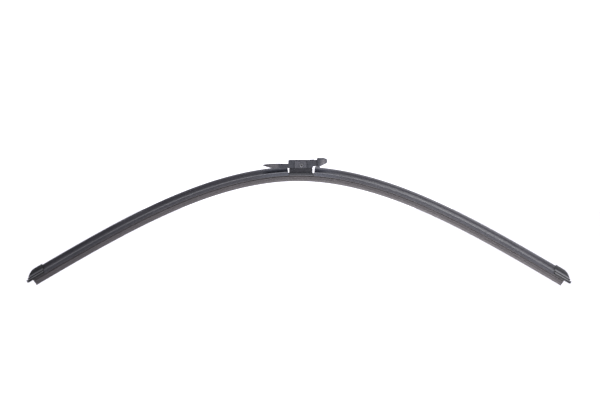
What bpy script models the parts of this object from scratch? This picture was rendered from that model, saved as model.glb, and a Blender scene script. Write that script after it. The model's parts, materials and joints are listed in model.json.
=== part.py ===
"""Flat windscreen wiper blade, 650 mm, with a push-on adapter for a channel-ended wiper arm.

The frame is the adapter's: the origin lies on the adapter's flat roof, straight above the pivot.
+X runs along the blade towards the adapter's nose, +Z points away from the glass, Y is the wiping direction.
Outlines of the connector are given in millimetres from the pivot. Sections of the blade are given as
(across, up) in millimetres from the blade's middle line, and are swept along its bent shape.
"""

import math

import bmesh
import bpy
import numpy as np
from mathutils import Matrix, Vector

MM = 0.001
GAP = 0.3                     # clearance left between pieces that touch on the real blade
SEAM = 0.1                    # clearance along a closed joint that shows from outside
RUNNING_CLEARANCE = 0.1       # radial clearance of the pivot pin

# The bent blade: a spring rail that is pressed flat by an even load bends by this law when it is free.
PIVOT_DEPTH = 6.2             # the pivot's depth below the adapter's roof
ARC_X = -3.8                  # the bend's centre, from the pivot
ARC_Z = -9.4
CURVATURE = 0.00416           # per millimetre, at the centre
HALF_SPAN = 385.8             # distance along the rail over which the curvature would fall to nothing
STATION_STEP = 13.0

# Lengths along the blade, from the bend's centre
RUBBER_INBOARD = -324.5
RUBBER_OUTBOARD = 325.8
TIP_INBOARD = -331.2
TIP_OUTBOARD = 333.4
CAP_LENGTH = 21.0             # at its foot
CAP_LEAN = 0.27               # the joint with the spoiler leans inwards, per millimetre above the foot
CAP_PROUD = 1.15              # the caps stand this far above the spoilers
CAP_DOME_START = 14.5         # from the cap's tip
CAP_TAPER = 9.0
CAP_FLANGE = 2.6
CAP_EDGE = 3.2                # the height of the ledge round the cap, where the dome ends
CAP_FLANGE_TOP = 1.7
CAP_RECESS = 2.2              # the height of the groove between the ledge and the flange
CAP_BOTTOM = -1.2
RAIL_OVERHANG = 2.0           # the rails run this far past the rubber, inside the end caps
BRACKET_INBOARD = -9.6
BRACKET_OUTBOARD = 17.0
SPOILER_INBOARD_END = -10.6
SPOILER_OUTBOARD_END = 18.0
WINDOW_FOOT = -8.4            # above this height the spoilers stop short of the connector
WINDOW_TOP = -0.7
WINDOW_INBOARD = (-14.9, -16.0)     # where the cut edge stands at the window's foot, and at its top
WINDOW_OUTBOARD = (13.5, 15.1)
RIDGE_INBOARD = 15.6          # a ridge on the outboard crest closes the gap below the nose
RIDGE_OUTBOARD = 20.3
RIDGE_TOP = -1.0
RIDGE_HALF_WIDTH = 0.7

# The blade's section
CREST_HEIGHT = 8.2
LIP_DEPTH = -8.2
CREST_HALF_WIDTH = 0.8
FLARE_HALF_WIDTH = 6.0
FLARE_HEIGHT = 2.55
FLARE_EDGE = 2.25
FLANK_TOP = 7.6
FLANK_POWER = 3.0             # how sharply the hollow flank turns out towards the flare
BAND_HALF_WIDTH = 6.1
BAND_TOP = 1.1
BAND_BOTTOM = -1.7
RAIL_INNER = 1.6
RAIL_OUTER = 5.1
RAIL_TOP = 0.15
RAIL_THICKNESS = 0.9
SLOT_TOP = RAIL_TOP + GAP
SLOT_BOTTOM = RAIL_TOP - RAIL_THICKNESS - GAP
SLOT_OUTER = RAIL_OUTER + GAP
CLAW_INNER = 4.3
HEAD_HALF_WIDTH = 3.0
HEAD_TOP = 1.5
CHANNEL_TOP = 1.8
CHANNEL_HALF_WIDTH = 3.4

# The adapter
HOUSING_INBOARD = -14.6
HOUSING_OUTBOARD = 17.3
HOUSING_HALF_WIDTH = 9.0
HOUSING_BOTTOM = -2.9
HOUSING_LEAN = 0.08           # the inboard end leans outwards by this much per millimetre below the roof
HOUSING_TAIL_BOTTOM = -0.7    # the housing's underside beside the outboard window
WALL = 1.4
ROOF_INNER = 5.3
SHELF_INBOARD = 6.9
SHELF_OUTBOARD = 13.9
SHELF_BOTTOM = -0.1
SHELF_TOP = 0.7
NOSE_STEP = 17.4
NOSE_TOP = 8.3
NOSE_HALF_WIDTH = 11.0
NOSE_TIP = 28.8
FAIRING_TIP = -43.8

# The pivot
PIN_RADIUS = 2.4
DIMPLE_RADIUS = 1.0
DIMPLE_DEPTH = 0.9
PLATE_INBOARD = -7.3
PLATE_OUTBOARD = 5.3
PLATE_TOP = 5.0
PLATE_OUTER = 9.2
PLATE_INNER = 6.3
NECK_HALF_WIDTH = 6.0
NECK_INBOARD = -13.9
NECK_OUTBOARD = 12.4
NECK_TOP = -3.0
BOSS_RADIUS = 3.9
RIVETS = (("base_rivet_inboard", -9.6), ("base_rivet_outboard", 8.6))
RIVET_RADIUS = 1.0
RIVET_HEAD_RADIUS = 1.9

# The lock button and its spring
BUTTON_X = 9.7
BUTTON_HALF_LENGTH = 4.5
BUTTON_HALF_WIDTH = 4.5
BUTTON_RIM = 0.7
SPRING_RADIUS = 1.8
SPRING_WIRE = 0.4
SPRING_TURNS = 4
SPRING_BOTTOM = 1.0
SPRING_TOP = 4.8


def clear_scene():
    for item in list(bpy.data.objects):
        bpy.data.objects.remove(item, do_unlink=True)


def make_material(name, colour, roughness, metallic=0.0):
    material = bpy.data.materials.new(name)
    material.use_nodes = True
    shader = material.node_tree.nodes["Principled BSDF"]
    shader.inputs["Base Color"].default_value = (*colour, 1.0)
    shader.inputs["Roughness"].default_value = roughness
    shader.inputs["Metallic"].default_value = metallic
    return material


def add_empty(name, location):
    empty = bpy.data.objects.new(name, None)
    empty.location = Vector(location) * MM
    bpy.context.collection.objects.link(empty)
    return empty


def add_object(name, shape, material, parent, smooth_angle=None):
    """Turn a bmesh in millimetres into an object in metres that hangs on a parent empty."""
    bmesh.ops.scale(shape, vec=(MM, MM, MM), verts=shape.verts)
    bmesh.ops.recalc_face_normals(shape, faces=shape.faces)
    mesh = bpy.data.meshes.new(name)
    shape.to_mesh(mesh)
    shape.free()
    if smooth_angle is not None:
        mesh.shade_smooth()
        mesh.set_sharp_from_angle(angle=math.radians(smooth_angle))
    if material is not None:
        mesh.materials.append(material)
    result = bpy.data.objects.new(name, mesh)
    result.parent = parent
    bpy.context.collection.objects.link(result)
    return result


def add_cutter(name, shape, parent):
    cutter = add_object(name, shape, None, parent)
    cutter.hide_render = True
    cutter.display_type = 'WIRE'
    return cutter


def boolean(target, other, operation='DIFFERENCE'):
    modifier = target.modifiers.new(other.name, 'BOOLEAN')
    modifier.object = other
    modifier.operation = operation
    modifier.solver = 'EXACT'


def loft(rings):
    """Join rings of points, each with the same count, into one closed solid."""
    shape = bmesh.new()
    rows = [[shape.verts.new(point) for point in ring] for ring in rings]
    for first, second in zip(rows, rows[1:]):
        for index in range(len(first)):
            after = (index + 1) % len(first)
            shape.faces.new((first[index], first[after], second[after], second[index]))
    shape.faces.new(list(reversed(rows[0])))
    shape.faces.new(rows[-1])
    return shape


def prism_across(outline, low, high):
    """A side outline of (x, z) points, extruded along Y."""
    return loft([[(x, y, z) for x, z in outline] for y in (low, high)])


def prism_up(outline, low, high):
    """A plan outline of (x, y) points, extruded along Z."""
    return loft([[(x, y, z) for x, y in outline] for z in (low, high)])


def block(x_range, y_range, z_range):
    low_x, high_x = x_range
    low_z, high_z = z_range
    outline = [(low_x, low_z), (high_x, low_z), (high_x, high_z), (low_x, high_z)]
    return prism_across(outline, *y_range)


def circle(radius, centre=(0.0, 0.0), sides=24):
    turns = [2 * math.pi * index / sides for index in range(sides)]
    return [(centre[0] + radius * math.cos(turn), centre[1] + radius * math.sin(turn)) for turn in turns]


def arc(centre, radius, start, end, steps):
    """Points of a circular arc, angles in degrees."""
    angles = np.radians(np.linspace(start, end, steps + 1))
    return [(centre[0] + radius * math.cos(angle), centre[1] + radius * math.sin(angle)) for angle in angles]


# The blade's bend

def bend_angle(along):
    """Slope of the middle line at a distance along it, positive where it falls towards +X."""
    rest = (1.0 - np.abs(along) / HALF_SPAN) ** 3
    return np.sign(along) * CURVATURE * HALF_SPAN / 3.0 * (1.0 - rest)


def bend_point(along, across, up):
    """Place a section point on the bent blade, in millimetres from the pivot."""
    slices = 100
    angles = bend_angle(along * (np.arange(slices) + 0.5) / slices)
    x = ARC_X + along * np.mean(np.cos(angles))
    z = ARC_Z - along * np.mean(np.sin(angles))
    slope = bend_angle(along)
    return (x + up * math.sin(slope), across, z + up * math.cos(slope))


def stations(start, end):
    """Distances along the blade for a sweep: a grid that all long parts share, and the part's own ends."""
    first = math.ceil(start / STATION_STEP)
    last = math.floor(end / STATION_STEP)
    grid = [index * STATION_STEP for index in range(first, last + 1)]
    clear = STATION_STEP / 3
    return [start] + [place for place in grid if place - start > clear and end - place > clear] + [end]


def ring(section, place, lean=0.0):
    """One cross-section of the blade; a lean tips it along the blade about its foot."""
    return [bend_point(place + lean * (up - BAND_BOTTOM), across, up) for across, up in section]


def sweep(section, places):
    return loft([ring(section, place) for place in places])


def mirrored(half):
    """Close a section from its +Y half, listed from the top down or round."""
    return half + [(-across, up) for across, up in reversed(half)]


# Sections, as (across, up)

def rubber_section():
    return mirrored([
        (HEAD_HALF_WIDTH, HEAD_TOP), (HEAD_HALF_WIDTH, SLOT_TOP),
        (RAIL_INNER - GAP, SLOT_TOP), (RAIL_INNER - GAP, SLOT_BOTTOM),
        (3.6, SLOT_BOTTOM), (3.6, -2.3), (0.6, -2.4),
        (0.6, -2.7), (3.3, -2.8), (3.3, -3.5),
        (1.0, -5.2), (0.5, -6.2), (0.35, LIP_DEPTH),
    ])


def rail_section(side):
    inner = side * RAIL_INNER
    outer = side * RAIL_OUTER
    bottom = RAIL_TOP - RAIL_THICKNESS
    return [(inner, bottom), (outer, bottom), (outer, RAIL_TOP), (inner, RAIL_TOP)]


def flank_half(grow, crest, foot, steps=6):
    """The +Y half of a fin with hollow flanks, from its crest to the foot where it has turned outwards."""
    points = [(CREST_HALF_WIDTH - 0.3 + grow / 2, crest)]
    top = crest - CREST_HEIGHT + FLANK_TOP
    for index in range(steps + 1):
        share = (index / steps) ** (1.0 / FLANK_POWER)
        width = CREST_HALF_WIDTH + (FLARE_HALF_WIDTH - CREST_HALF_WIDTH) * index / steps + grow
        points.append((width, top - share * (top - foot)))
    return points


def outer_half():
    """The +Y half of the spoiler's outside, from the crest round the flare to the band's foot."""
    points = flank_half(0.0, CREST_HEIGHT, FLARE_HEIGHT)
    points += [(FLARE_HALF_WIDTH + 0.3, FLARE_EDGE), (BAND_HALF_WIDTH - 0.4, BAND_TOP + 0.35)]
    points += [(BAND_HALF_WIDTH, BAND_TOP), (BAND_HALF_WIDTH, BAND_BOTTOM + 0.3)]
    return points


def channel_half():
    """The +Y half of the slot that holds the rails and the rubber's head, from its mouth up."""
    return [
        (CLAW_INNER, BAND_BOTTOM), (CLAW_INNER, SLOT_BOTTOM), (SLOT_OUTER, SLOT_BOTTOM),
        (SLOT_OUTER, SLOT_TOP), (CHANNEL_HALF_WIDTH, SLOT_TOP), (CHANNEL_HALF_WIDTH, CHANNEL_TOP),
    ]


def spoiler_section():
    foot = [(BAND_HALF_WIDTH - 0.3, BAND_BOTTOM)]
    return mirrored(outer_half() + foot + channel_half())


def bracket_section():
    foot = BAND_BOTTOM - 0.1
    outside = [(4.4, 2.6), (4.4, BAND_TOP), (6.5, BAND_TOP), (6.5, foot), (CLAW_INNER, foot)]
    return mirrored(outside + channel_half()[1:])


# The blade's parts

def add_rubber(parent, material):
    shape = sweep(rubber_section(), stations(RUBBER_INBOARD, RUBBER_OUTBOARD))
    add_object("wiper_rubber", shape, material, parent, smooth_angle=30)


def add_rails(parent, material):
    for name, side in (("front_rail", -1), ("rear_rail", 1)):
        places = stations(RUBBER_INBOARD - RAIL_OVERHANG, RUBBER_OUTBOARD + RAIL_OVERHANG)
        add_object(name, sweep(rail_section(side), places), material, parent)


def add_spoilers(parent, material):
    """Each spoiler's fin is cut back beside the connector, and its foot runs on to the bracket."""
    section = spoiler_section()
    halves = (
        ("spoiler_inboard", SPOILER_INBOARD_END, TIP_INBOARD, WINDOW_INBOARD),
        ("spoiler_outboard", SPOILER_OUTBOARD_END, TIP_OUTBOARD, WINDOW_OUTBOARD),
    )
    for name, inner_end, tip, (edge_foot, edge_top) in halves:
        side = math.copysign(1.0, tip)
        cap_joint = tip - side * (CAP_LENGTH + GAP)
        places = stations(*sorted((inner_end, cap_joint)))
        rings = [ring(section, place, lean=-side * CAP_LEAN * (place == cap_joint)) for place in places]
        spoiler = add_object(name, loft(rings), material, parent, smooth_angle=40)
        if tip == TIP_OUTBOARD:
            boolean(spoiler, add_cutter(name + "_ridge", ridge(), parent), 'UNION')
        window = [
            (0.0, WINDOW_FOOT), (edge_foot, WINDOW_FOOT), (edge_top, WINDOW_TOP), (edge_top, 5.0), (0.0, 5.0),
        ]
        boolean(spoiler, add_cutter(name + "_window", prism_across(window, -9.0, 9.0), parent))


def ridge():
    outline = [
        (RIDGE_INBOARD, RIDGE_TOP - 3.0), (RIDGE_INBOARD, RIDGE_TOP - 0.2), (RIDGE_INBOARD + 0.2, RIDGE_TOP),
        (RIDGE_OUTBOARD, RIDGE_TOP), (RIDGE_OUTBOARD + 1.4, RIDGE_TOP - 3.0),
    ]
    return prism_across(outline, -RIDGE_HALF_WIDTH, RIDGE_HALF_WIDTH)


def cap_top(from_tip):
    """Height of the end cap's crest, by distance from the cap's tip: a dome, then a flat flange."""
    if from_tip < CAP_FLANGE:
        return CAP_FLANGE_TOP
    share = max(0.0, (CAP_DOME_START - from_tip) / (CAP_DOME_START - CAP_FLANGE))
    return CAP_EDGE + (CREST_HEIGHT + CAP_PROUD - CAP_EDGE) * (1.0 - share ** 2) ** 0.9


def cap_point(across, up, top):
    """Lower a point of the cap's full section so that the crest comes down to a given top."""
    if top > CAP_EDGE and up > CAP_EDGE:
        return across, CAP_EDGE + (up - CAP_EDGE) * (top - CAP_EDGE) / (CREST_HEIGHT + CAP_PROUD - CAP_EDGE)
    if up > top:
        squeeze = 0.9 if up > CAP_RECESS else 1.0
        return across * squeeze, top
    return across, up


def cap_section():
    """Outside of the end cap: a sleeve's thickness over the spoiler, with a ledge and a flange round it."""
    flank = flank_half(0.6, CREST_HEIGHT + CAP_PROUD, CAP_EDGE)
    wide = FLARE_HALF_WIDTH
    ledge = [(wide + 0.9, CAP_EDGE - 0.3), (wide + 0.95, CAP_RECESS + 0.4)]
    flange = [(wide + 0.5, CAP_RECESS - 0.2), (wide + 1.0, 1.2), (wide + 1.0, CAP_BOTTOM + 0.5)]
    return mirrored(flank + ledge + flange + [(wide + 0.5, CAP_BOTTOM)])


def cap_ring(tip, from_tip):
    side = math.copysign(1.0, tip)
    taper = 1.0 - 0.3 * max(0.0, 1.0 - from_tip / CAP_TAPER) ** 2
    top = cap_top(from_tip)
    section = [cap_point(across, up, top) for across, up in cap_section()]
    section = [(across * taper, up) for across, up in section]
    return ring(section, tip - side * from_tip, lean=-side * CAP_LEAN * (from_tip == CAP_LENGTH))


def add_end_caps(parent, material):
    dome = (CAP_DOME_START, 12.0, 10.0, 8.2, 6.6, 5.2, 4.1, 3.2, CAP_FLANGE)
    places = (CAP_LENGTH, *dome, CAP_FLANGE - 0.1, 0.4, 0.0)
    ends = (
        ("end_cap_inboard", TIP_INBOARD, RUBBER_INBOARD),
        ("end_cap_outboard", TIP_OUTBOARD, RUBBER_OUTBOARD),
    )
    for name, tip, rubber_end in ends:
        side = math.copysign(1.0, tip)
        shape = loft([cap_ring(tip, place) for place in places])
        cap = add_object(name, shape, material, parent, smooth_angle=40)
        channel = mirrored([(CLAW_INNER, CAP_BOTTOM - 2.0)] + channel_half()[1:])
        mouth = tip - side * (CAP_LENGTH + 5.0)
        bottom = rubber_end + side * (RAIL_OVERHANG + GAP)
        cutter = add_cutter(name + "_channel", sweep(channel, [mouth, tip - side * 11.0, bottom]), parent)
        boolean(cap, cutter)


def add_rail_clips(parent, material):
    """Small stops between the rail ends that keep the rubber from sliding out."""
    section = mirrored([
        (HEAD_HALF_WIDTH, HEAD_TOP), (HEAD_HALF_WIDTH, SLOT_TOP), (RAIL_INNER - GAP, SLOT_TOP),
        (RAIL_INNER - GAP, SLOT_BOTTOM),
    ])
    for name, rubber_end in (("rail_clip_inboard", RUBBER_INBOARD), ("rail_clip_outboard", RUBBER_OUTBOARD)):
        side = math.copysign(1.0, rubber_end)
        places = [rubber_end + side * GAP, rubber_end + side * RAIL_OVERHANG]
        add_object(name, sweep(section, places), material, parent)


def add_bracket(parent, material):
    places = stations(BRACKET_INBOARD, BRACKET_OUTBOARD)
    bracket = add_object("rail_bracket", sweep(bracket_section(), places), material, parent)
    past_neck = block((NECK_OUTBOARD - 0.2, NECK_OUTBOARD + 3.0), (-9.0, 9.0), (WINDOW_FOOT - 0.4, NECK_TOP))
    boolean(bracket, add_cutter("bracket_past_neck", past_neck, parent))
    for name, x in RIVETS:
        hole = prism_up(circle(RIVET_RADIUS + GAP, (x, 0.0), 12), -9.0, -5.0)
        boolean(bracket, add_cutter(name + "_bracket_hole", hole, parent))


def add_base(parent, material):
    """The moulded base: a neck between the windows, with a round-topped boss that carries the pin."""
    foot = ARC_Z + BAND_TOP + GAP - 1.2
    right = arc((0.0, 0.0), BOSS_RADIUS, 0, 180, 12)
    outline = [
        (NECK_INBOARD, foot), (NECK_OUTBOARD, foot), (NECK_OUTBOARD, NECK_TOP - 0.8),
        (NECK_OUTBOARD - 0.8, NECK_TOP), (BOSS_RADIUS, NECK_TOP),
    ] + right + [(-BOSS_RADIUS, NECK_TOP), (NECK_INBOARD + 0.8, NECK_TOP), (NECK_INBOARD, NECK_TOP - 0.8)]
    shape = prism_across(outline, -NECK_HALF_WIDTH, NECK_HALF_WIDTH)
    base = add_object("connector_base", shape, material, parent)
    seat = mirrored([(4.4 + GAP, 2.6 + GAP), (4.4 + GAP, BAND_TOP + GAP), (9.0, BAND_TOP + GAP), (9.0, -4.0)])
    seat_places = [BRACKET_INBOARD - 6.0, -5.0, 0.0, 5.0, 10.0, BRACKET_OUTBOARD + 6.0]
    boolean(base, add_cutter("base_seat", sweep(seat, seat_places), parent))
    bore = prism_across(circle(PIN_RADIUS + RUNNING_CLEARANCE), -8.0, 8.0)
    boolean(base, add_cutter("base_bore", bore, parent))
    for name, x in RIVETS:
        hole = prism_up(circle(RIVET_RADIUS + GAP, (x, 0.0), 12), -9.0, 0.0)
        boolean(base, add_cutter(name + "_base_hole", hole, parent))


def add_rivets(parent, material):
    """Each rivet is a shank with a flat head that bears on the neck."""
    for name, x in RIVETS:
        shank_bottom = bend_point(x - ARC_X, 0.0, CHANNEL_TOP + 0.1)[2]
        head_bottom = NECK_TOP + 0.1
        sizes = (
            (RIVET_RADIUS, shank_bottom), (RIVET_RADIUS, head_bottom), (RIVET_HEAD_RADIUS, head_bottom),
            (RIVET_HEAD_RADIUS, head_bottom + 0.5), (RIVET_HEAD_RADIUS - 0.4, head_bottom + 0.8),
        )
        rings = [[(px, py, height) for px, py in circle(radius, (x, 0.0), 12)] for radius, height in sizes]
        add_object(name, loft(rings), material, parent, smooth_angle=30)


def add_pin(parent, material):
    """A solid pin through the base and both plates, with a chamfer and a punched dimple at each end."""
    reach = PLATE_OUTER + 0.3
    end = [
        (DIMPLE_RADIUS - 0.3, reach - DIMPLE_DEPTH), (DIMPLE_RADIUS, reach), (PIN_RADIUS - 0.3, reach),
        (PIN_RADIUS, reach - 0.3),
    ]
    profile = [(radius, -y) for radius, y in end] + list(reversed(end))
    rings = [[(x, y, z) for x, z in circle(radius)] for radius, y in profile]
    add_object("pivot_pin", loft(rings), material, parent, smooth_angle=30)


# The adapter's parts

def housing_end(z):
    """Where the housing's inboard end stands, at a height."""
    return HOUSING_INBOARD - HOUSING_LEAN * (PIVOT_DEPTH - z)


def add_housing(parent, material):
    outline = [
        (housing_end(HOUSING_BOTTOM), HOUSING_BOTTOM), (NECK_OUTBOARD, HOUSING_BOTTOM),
        (NECK_OUTBOARD + 0.8, HOUSING_TAIL_BOTTOM), (HOUSING_OUTBOARD, HOUSING_TAIL_BOTTOM),
        (HOUSING_OUTBOARD, PIVOT_DEPTH), (HOUSING_INBOARD + 0.5, PIVOT_DEPTH),
        (housing_end(PIVOT_DEPTH - 0.5), PIVOT_DEPTH - 0.5),
    ]
    shape = prism_across(outline, -HOUSING_HALF_WIDTH, HOUSING_HALF_WIDTH)
    housing = add_object("adapter_housing", shape, material, parent)
    inner = HOUSING_HALF_WIDTH - WALL
    end_wall = HOUSING_INBOARD + WALL
    below = HOUSING_BOTTOM - 1.0
    end_wall_foot = -1.0
    beyond = HOUSING_OUTBOARD + 1.0
    cavity = [
        (HOUSING_INBOARD - 2.0, below), (HOUSING_INBOARD - 2.0, end_wall_foot), (end_wall, end_wall_foot),
        (end_wall, ROOF_INNER), (beyond, ROOF_INNER), (beyond, below), (SHELF_OUTBOARD, below),
        (SHELF_OUTBOARD, SHELF_TOP), (SHELF_INBOARD, SHELF_TOP), (SHELF_INBOARD, below),
    ]
    boolean(housing, add_cutter("housing_cavity", prism_across(cavity, -inner, inner), parent))
    under = block((SHELF_INBOARD - 0.5, SHELF_OUTBOARD + 0.5), (-inner, inner), (below, SHELF_BOTTOM))
    boolean(housing, add_cutter("housing_under_shelf", under, parent))
    right_through = (-HOUSING_HALF_WIDTH - 1.0, HOUSING_HALF_WIDTH + 1.0)
    windows = block((PLATE_INBOARD - GAP, PLATE_OUTBOARD + GAP), right_through, (below, ROOF_INNER))
    boolean(housing, add_cutter("housing_windows", windows, parent))
    long_way = (BUTTON_X - BUTTON_HALF_LENGTH - GAP, BUTTON_X + BUTTON_HALF_LENGTH + GAP)
    wide_way = (-BUTTON_HALF_WIDTH - GAP, BUTTON_HALF_WIDTH + GAP)
    aperture = block(long_way, wide_way, (ROOF_INNER - 1.0, PIVOT_DEPTH + 1.0))
    boolean(housing, add_cutter("housing_button_hole", aperture, parent))


def add_bearing_plates(parent, material):
    """A plate in each side of the housing: flanged on the inside, with the bore that turns on the pin."""
    flange_outer = HOUSING_HALF_WIDTH - WALL - GAP
    outline = [
        (PLATE_INBOARD - 1.3, PLATE_INNER), (PLATE_OUTBOARD + 1.3, PLATE_INNER),
        (PLATE_OUTBOARD + 1.3, flange_outer), (PLATE_OUTBOARD, flange_outer), (PLATE_OUTBOARD, PLATE_OUTER),
        (PLATE_INBOARD, PLATE_OUTER), (PLATE_INBOARD, flange_outer), (PLATE_INBOARD - 1.3, flange_outer),
    ]
    for name, side in (("front_bearing_plate", -1), ("rear_bearing_plate", 1)):
        shape = prism_up([(x, side * y) for x, y in outline], HOUSING_BOTTOM, PLATE_TOP)
        plate = add_object(name, shape, material, parent)
        bore = prism_across(circle(PIN_RADIUS + RUNNING_CLEARANCE), side * 5.0, side * 11.0)
        boolean(plate, add_cutter(name + "_bore", bore, parent))


def add_nose(parent, material):
    """The cap that closes the arm's end: a hood, open below, with two prongs that clip into the housing."""
    outline = [(NOSE_STEP, -1.1), (20.4, -1.1), (21.4, -0.6), (24.7, 1.0), (28.1, 2.6)]
    outline += arc((27.8, 3.9), 1.0, -60, 0, 2) + arc((26.6, 5.6), 2.2, 10, 50, 2)
    outline += [(25.9, 8.0), (24.7, NOSE_TOP), (NOSE_STEP + 0.4, NOSE_TOP), (NOSE_STEP, NOSE_TOP - 0.4)]
    shape = prism_across(outline, -NOSE_HALF_WIDTH, NOSE_HALF_WIDTH)
    nose = add_object("nose_cap", shape, material, parent)
    corner = 5.0
    plan = [(NOSE_STEP - 9.0, -NOSE_HALF_WIDTH - 0.01), (NOSE_STEP - 9.0, NOSE_HALF_WIDTH + 0.01)]
    plan += arc((NOSE_TIP - corner, NOSE_HALF_WIDTH - corner + 0.01), corner, 90, 0, 6)
    plan += arc((NOSE_TIP - corner, corner - NOSE_HALF_WIDTH - 0.01), corner, 0, -90, 6)
    keep = add_cutter("nose_plan", prism_up(plan, -5.0, 12.0), parent)
    boolean(nose, keep, 'INTERSECT')
    pocket_half = NOSE_HALF_WIDTH - 2.0
    pocket = block((NOSE_STEP + 1.4, NOSE_TIP - 2.3), (-pocket_half, pocket_half), (-3.0, 6.6))
    boolean(nose, add_cutter("nose_pocket", pocket, parent))
    crest_slot = block((NOSE_STEP - 1.0, NOSE_STEP + 2.0), (-3.4, 3.4), (-3.0, 2.5))
    boolean(nose, add_cutter("nose_crest_slot", crest_slot, parent))
    for name, side in (("nose_prong_front", -1), ("nose_prong_rear", 1)):
        prong = block((SHELF_OUTBOARD + GAP, NOSE_STEP + 0.7), sorted((side * 6.2, side * 7.3)), (-0.4, 5.0))
        boolean(nose, add_cutter(name, prong, parent), 'UNION')


def fairing_half_width(x):
    """The fairing narrows from the housing's width towards its tip, which is rounded."""
    share = (HOUSING_INBOARD - x) / (HOUSING_INBOARD - FAIRING_TIP)
    return 8.4 - 2.6 * share ** 2 - 2.4 * max(0.0, (share - 0.86) / 0.14) ** 2


def add_fairing(parent, material):
    """The fin under the arm: an upside-down channel that the blade's crest moves into."""
    profile = (
        (HOUSING_INBOARD, -2.8, 1.8), (-22.0, -2.8, 1.9), (-27.0, -2.8, 2.0), (-32.8, -2.8, 1.8),
        (-34.8, -2.6, 1.7), (-37.3, -2.0, 1.55), (-39.5, -1.3, 1.4), (-41.9, -0.4, 1.05), (-43.0, -0.1, 0.65),
        (FAIRING_TIP, 0.1, 0.4),
    )
    rings = []
    for x, low, high in profile:
        half = fairing_half_width(x)
        edge = min(0.8, (high - low) / 2.5)
        corners = [
            (-half, low), (half, low), (half, high - edge), (half - edge, high), (edge - half, high),
            (-half, high - edge),
        ]
        rings.append([(min(x, housing_end(z) - SEAM), y, z) for y, z in corners])
    fairing = add_object("arm_fairing", loft(rings), material, parent)
    pocket = [(-13.0, -4.0), (-13.0, 0.7), (-27.0, 0.7), (-39.5, 0.2), (-40.7, -0.1), (-40.7, -4.0)]
    boolean(fairing, add_cutter("fairing_pocket", prism_across(pocket, -4.0, 4.0), parent))
    for name, side in (("fairing_prong_front", -1), ("fairing_prong_rear", 1)):
        prong = block((HOUSING_INBOARD - 1.5, -11.0), sorted((side * 6.3, side * 7.3)), (-2.5, -1.3))
        boolean(fairing, add_cutter(name, prong, parent), 'UNION')


def add_button(parent, material):
    """The lock button: a ramp that the arm slides over, held under the roof by a rim at each end."""
    length = BUTTON_HALF_LENGTH
    rim = length + BUTTON_RIM
    rim_top = ROOF_INNER - 0.4
    outline = [
        (-rim, 3.0), (rim, 3.0), (rim, rim_top), (length, rim_top), (length, 6.5), (length - 0.3, 6.75),
        (0.6 - length, PIVOT_DEPTH), (-length, PIVOT_DEPTH - 0.4), (-length, rim_top), (-rim, rim_top),
    ]
    shape = prism_across(outline, -BUTTON_HALF_WIDTH, BUTTON_HALF_WIDTH)
    button = add_object("lock_button", shape, material, parent)
    pocket = prism_up(circle(SPRING_RADIUS + 2 * GAP, sides=16), 1.0, SPRING_TOP + GAP)
    boolean(button, add_cutter("button_spring_pocket", pocket, parent))


def add_spring(parent, material):
    steps = 10 * SPRING_TURNS
    middle = SPRING_RADIUS - SPRING_WIRE / 2
    low = SPRING_BOTTOM + SPRING_WIRE / 2
    rise = SPRING_TOP - SPRING_BOTTOM - SPRING_WIRE
    rings = []
    for step in range(steps + 1):
        turn = 2 * math.pi * SPRING_TURNS * step / steps
        centre = Vector((middle * math.cos(turn), middle * math.sin(turn), low + rise * step / steps))
        outward = Vector((math.cos(turn), math.sin(turn), 0.0))
        ring = []
        for px, pz in circle(SPRING_WIRE / 2, sides=6):
            ring.append(centre + outward * px + Vector((0.0, 0.0, pz)))
        rings.append(ring)
    add_object("lock_spring", loft(rings), material, parent, smooth_angle=60)


def main():
    clear_scene()
    rubber = make_material("wiping_rubber", (0.035, 0.033, 0.036), 0.62)
    elastomer = make_material("spoiler_elastomer", (0.030, 0.032, 0.038), 0.50)
    spring_steel = make_material("rail_steel", (0.10, 0.10, 0.11), 0.35, 1.0)
    coated_steel = make_material("coated_steel", (0.05, 0.052, 0.058), 0.45, 0.6)
    black_plastic = make_material("black_plastic", (0.034, 0.036, 0.043), 0.48)
    grey_plastic = make_material("bearing_plastic", (0.055, 0.055, 0.062), 0.42)
    bright_steel = make_material("pin_steel", (0.20, 0.20, 0.21), 0.32, 1.0)

    blade = add_empty("blade_tilt", (0.0, 0.0, -PIVOT_DEPTH))
    adapter = add_empty("adapter_frame", (0.0, 0.0, -PIVOT_DEPTH))
    lock = add_empty("lock_slide", (BUTTON_X, 0.0, -PIVOT_DEPTH))

    add_rubber(blade, rubber)
    add_rails(blade, spring_steel)
    add_spoilers(blade, elastomer)
    add_end_caps(blade, black_plastic)
    add_rail_clips(blade, spring_steel)
    add_bracket(blade, coated_steel)
    add_base(blade, black_plastic)
    add_rivets(blade, bright_steel)
    add_pin(blade, bright_steel)

    add_housing(adapter, black_plastic)
    add_bearing_plates(adapter, grey_plastic)
    add_nose(adapter, black_plastic)
    add_fairing(adapter, black_plastic)
    add_button(lock, black_plastic)
    add_spring(lock, bright_steel)


main()
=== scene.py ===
import json
import math

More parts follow.
